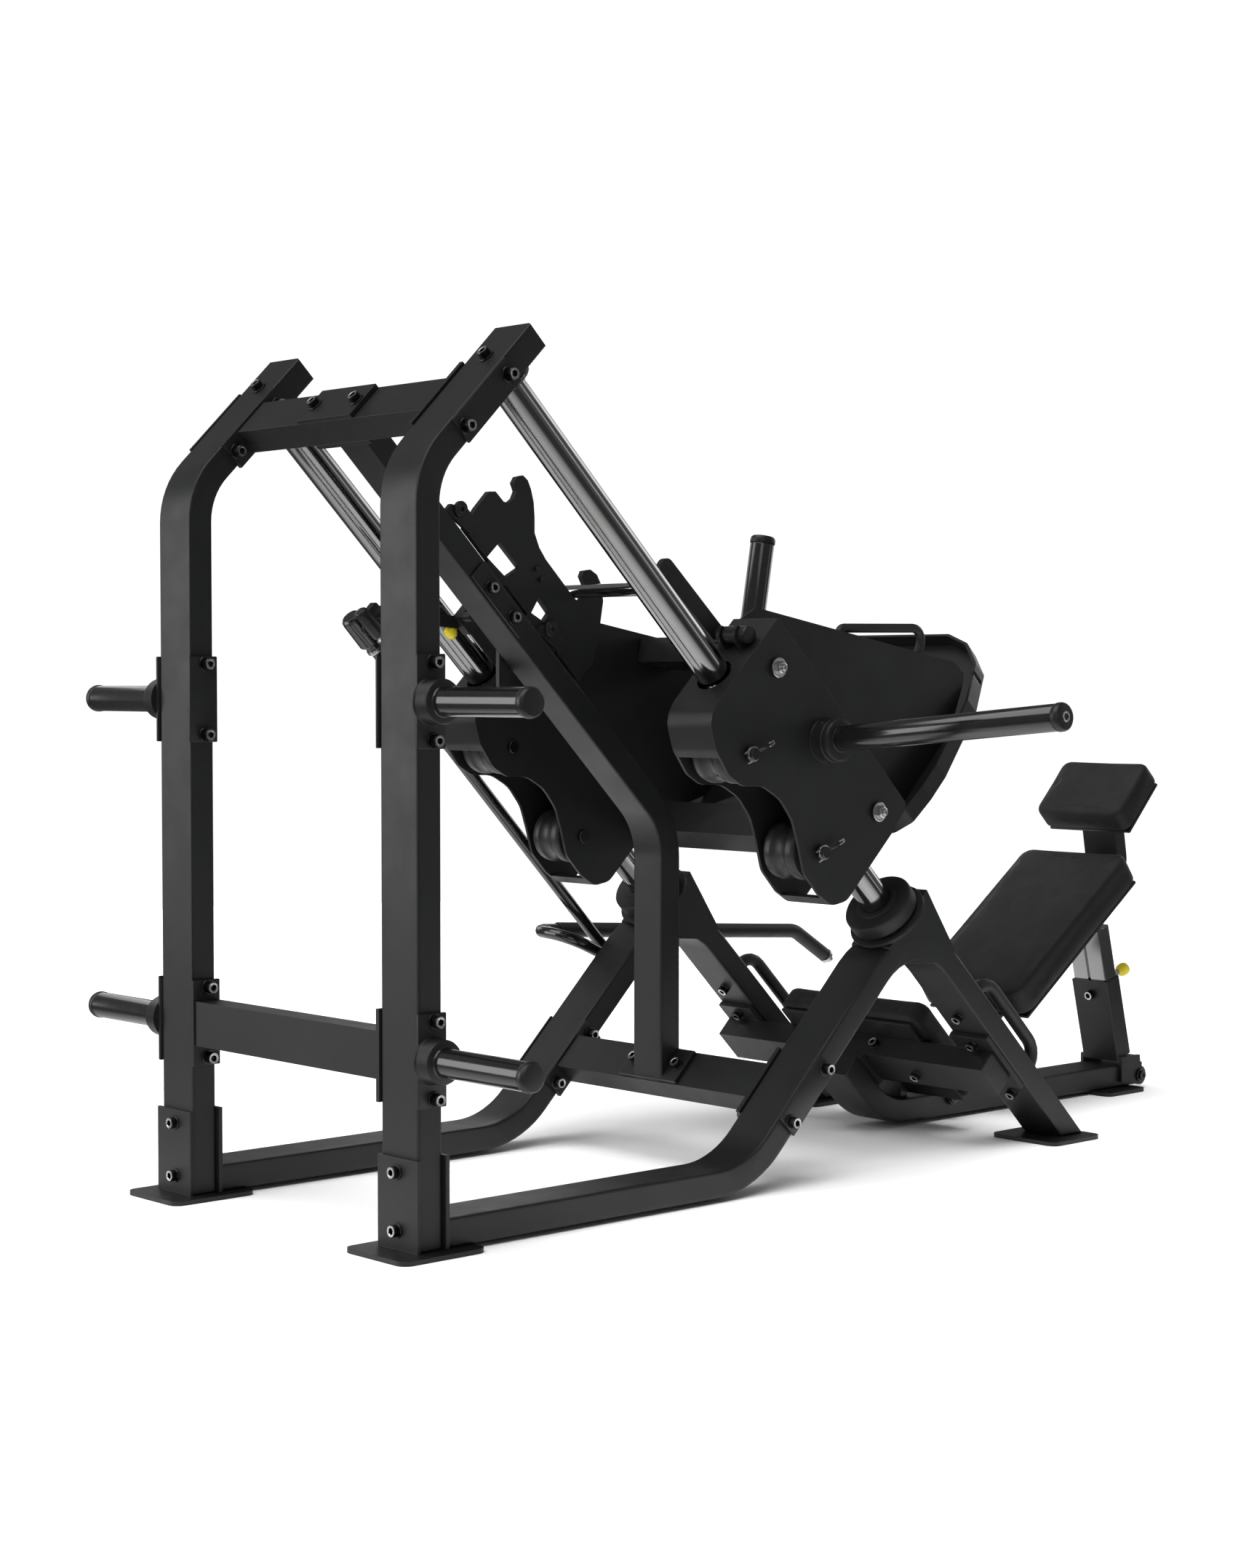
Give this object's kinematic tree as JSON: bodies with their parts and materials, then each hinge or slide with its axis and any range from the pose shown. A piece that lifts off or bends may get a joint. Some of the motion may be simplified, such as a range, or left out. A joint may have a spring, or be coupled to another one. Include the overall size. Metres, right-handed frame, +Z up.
{
  "type": "hack squat machine",
  "caption": "Plate-loaded 45 degree sled machine: carriage with foot platform on twin round rails, weight horns, hook rack, seat and tilting back pad.",
  "frame": {"origin": "centre of the floor footprint, at floor level", "axes": "+X from the rear uprights to the seat, +Y across to the release lever side, +Z up"},
  "size_m": [2.424, 1.9002, 1.5302],
  "materials": {
    "frame_paint": "satin black powder coat",
    "carriage_paint": "satin black powder coat",
    "horn_gloss": "glossy black",
    "chrome": "polished",
    "rubber": "matt black rubber",
    "grip_rubber": "black grip sleeve",
    "roller": "dark grey moulded plastic",
    "vinyl": "fine-grained black vinyl",
    "knob": "yellow knob"
  },
  "bodies": {
    "frame": {"rear_upright_near": "frame_paint", "rear_foot_near": "frame_paint", "side_base_near": "frame_paint", "front_foot_near": "frame_paint", "top_clamp_plate_near": "frame_paint", "storage_horn_upper_near": "horn_gloss", "storage_horn_lower_near": "horn_gloss", "rail_near": "chrome", "bumper_near": "rubber", "seat_handle_near": "grip_rubber", "rear_upright_far": "frame_paint", "rear_foot_far": "frame_paint", "side_base_far": "frame_paint", "front_foot_far": "frame_paint", "top_clamp_plate_far": "frame_paint", "storage_horn_upper_far": "horn_gloss", "storage_horn_lower_far": "horn_gloss", "rail_far": "chrome", "bumper_far": "rubber", "seat_handle_far": "grip_rubber", "top_crossbeam": "frame_paint", "saddle_plate": "frame_paint", "centre_beam": "frame_paint", "lower_crossbeam": "frame_paint", "mid_crossbeam": "frame_paint", "front_crossbeam": "frame_paint", "seat_spine": "frame_paint", "seat_rear_foot": "frame_paint", "seat_plate": "frame_paint", "seat_pad": "vinyl"},
    "carriage": {"housing_near": "carriage_paint", "housing_far": "carriage_paint", "weight_horn_near": "horn_gloss", "weight_horn_far": "horn_gloss", "platform": "carriage_paint", "carriage_beam": "carriage_paint", "lower_carriage_beam": "carriage_paint", "centre_horn": "horn_gloss", "grip_loop": "grip_rubber"},
    "catch": {"catch_frame": "carriage_paint", "catch_bar": "chrome"},
    "release": {"hook_plate": "frame_paint", "release_arm": "frame_paint", "release_rod": "horn_gloss"},
    "lever": {"release_lever": "horn_gloss"},
    "back": {"back_frame": "frame_paint", "back_pad": "vinyl", "head_bracket": "frame_paint", "head_pad": "vinyl"},
    "strut_lower": {"strut_outer": "frame_paint"},
    "strut_upper": {"strut_inner": "chrome"},
    "strut_knob": {"strut_pin": "knob"},
    "roller_near_1": {"roller_near_1": "roller"},
    "roller_near_2": {"roller_near_2": "roller"},
    "roller_near_3": {"roller_near_3": "roller"},
    "roller_near_4": {"roller_near_4": "roller"},
    "roller_far_1": {"roller_far_1": "roller"},
    "roller_far_2": {"roller_far_2": "roller"},
    "roller_far_3": {"roller_far_3": "roller"},
    "roller_far_4": {"roller_far_4": "roller"}
  },
  "joints": [
    {"name": "carriage_slide", "type": "slide", "parent": "frame", "child": "carriage", "axis": [-0.7071, 0, 0.7071], "range_m": [0, 0.36]},
    {"name": "catch_swing", "type": "hinge", "parent": "carriage", "child": "catch", "pos_m": [-0.39068, 0, 1.0193], "axis": [0, 1, 0], "range_deg": [0, 62]},
    {"name": "lever_turn", "type": "hinge", "parent": "frame", "child": "lever", "pos_m": [0.114, 0.39, 0.407], "axis": [0, -1, 0], "range_deg": [0, 15.2]},
    {"name": "release_slide", "type": "slide", "parent": "frame", "child": "release", "axis": [0.7071, 0, -0.7071], "range_m": [0, 0.034]},
    {"name": "back_tilt", "type": "hinge", "parent": "frame", "child": "back", "pos_m": [0.54, 0, 0.051], "axis": [0, -1, 0], "range_deg": [-5, 8]},
    {"name": "strut_swing", "type": "hinge", "parent": "frame", "child": "strut_lower", "pos_m": [1.19, 0, 0.03], "axis": [0, -1, 0], "range_deg": [-2.82, 4.49]},
    {"name": "strut_slide", "type": "slide", "parent": "strut_lower", "child": "strut_upper", "axis": [-0.2413, 0, 0.9704], "range_m": [-0.0536, 0.0857]},
    {"name": "strut_knob_pull", "type": "slide", "parent": "strut_lower", "child": "strut_knob", "axis": [0.9704, 0, 0.2413], "range_m": [0, 0.012], "stiffness_N_per_m": 600, "springref_m": -0.004},
    {"name": "roller_near_1_spin", "type": "hinge", "parent": "carriage", "child": "roller_near_1", "pos_m": [-0.40835, -0.33, 0.80504], "axis": [0, 1, 0], "range_deg": [0, 432]},
    {"name": "roller_near_2_spin", "type": "hinge", "parent": "carriage", "child": "roller_near_2", "pos_m": [-0.2238, -0.33, 0.62049], "axis": [0, 1, 0], "range_deg": [0, 432]},
    {"name": "roller_near_3_spin", "type": "hinge", "parent": "carriage", "child": "roller_near_3", "pos_m": [-0.33835, -0.33, 0.9599], "axis": [0, 1, 0], "range_deg": [-407, 0]},
    {"name": "roller_near_4_spin", "type": "hinge", "parent": "carriage", "child": "roller_near_4", "pos_m": [-0.06823, -0.33, 0.68979], "axis": [0, 1, 0], "range_deg": [-407, 0]},
    {"name": "roller_far_1_spin", "type": "hinge", "parent": "carriage", "child": "roller_far_1", "pos_m": [-0.40835, 0.33, 0.80504], "axis": [0, 1, 0], "range_deg": [0, 432]},
    {"name": "roller_far_2_spin", "type": "hinge", "parent": "carriage", "child": "roller_far_2", "pos_m": [-0.2238, 0.33, 0.62049], "axis": [0, 1, 0], "range_deg": [0, 432]},
    {"name": "roller_far_3_spin", "type": "hinge", "parent": "carriage", "child": "roller_far_3", "pos_m": [-0.33835, 0.33, 0.9599], "axis": [0, 1, 0], "range_deg": [-407, 0]},
    {"name": "roller_far_4_spin", "type": "hinge", "parent": "carriage", "child": "roller_far_4", "pos_m": [-0.06823, 0.33, 0.68979], "axis": [0, 1, 0], "range_deg": [-407, 0]}
  ],
  "couplings": [
    {"joint": "catch_swing", "follows": "carriage_slide", "rad_per_m": 2.967},
    {"joint": "lever_turn", "follows": "release_slide", "rad_per_m": 7.7459},
    {"joint": "strut_swing", "follows": "back_tilt", "ratio": 0.54398},
    {"joint": "strut_slide", "follows": "back_tilt", "m_per_rad": 0.60633},
    {"joint": "roller_near_1_spin", "follows": "carriage_slide", "rad_per_m": 20.833},
    {"joint": "roller_near_2_spin", "follows": "carriage_slide", "rad_per_m": 20.833},
    {"joint": "roller_near_3_spin", "follows": "carriage_slide", "rad_per_m": -19.608},
    {"joint": "roller_near_4_spin", "follows": "carriage_slide", "rad_per_m": -19.608},
    {"joint": "roller_far_1_spin", "follows": "carriage_slide", "rad_per_m": 20.833},
    {"joint": "roller_far_2_spin", "follows": "carriage_slide", "rad_per_m": 20.833},
    {"joint": "roller_far_3_spin", "follows": "carriage_slide", "rad_per_m": -19.608},
    {"joint": "roller_far_4_spin", "follows": "carriage_slide", "rad_per_m": -19.608}
  ]
}
